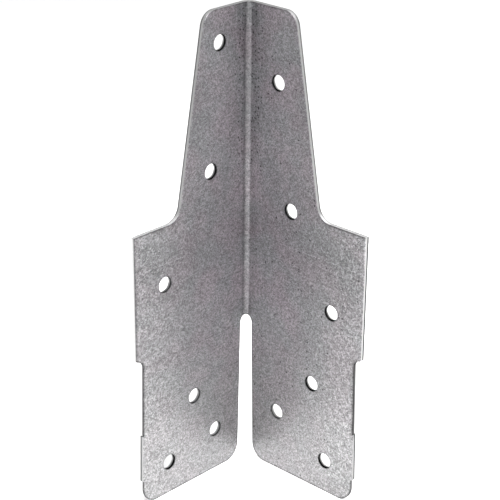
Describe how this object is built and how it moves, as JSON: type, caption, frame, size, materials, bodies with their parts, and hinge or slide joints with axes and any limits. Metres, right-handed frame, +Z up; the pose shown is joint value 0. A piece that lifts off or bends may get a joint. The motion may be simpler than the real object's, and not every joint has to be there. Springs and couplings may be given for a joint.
{
  "type": "framing anchor",
  "caption": "Right-angle folded sheet-steel framing anchor with stepped, tapered wings, staggered nail holes and a relief slot up the bend that frees its legs.",
  "frame": {"origin": "on the ground, at the middle of the square that the wings span in plan", "axes": "+Z up along the bend; wing A runs along +X with its outer face towards -Y, and wing B runs along +Y with its outer face towards -X"},
  "size_m": [0.0396, 0.0396, 0.1238],
  "materials": {
    "zinc_sheet": "matt hot-dip zinc with a fine grain"
  },
  "bodies": {
    "root": {"anchor_plate": "zinc_sheet"}
  },
  "joints": []
}
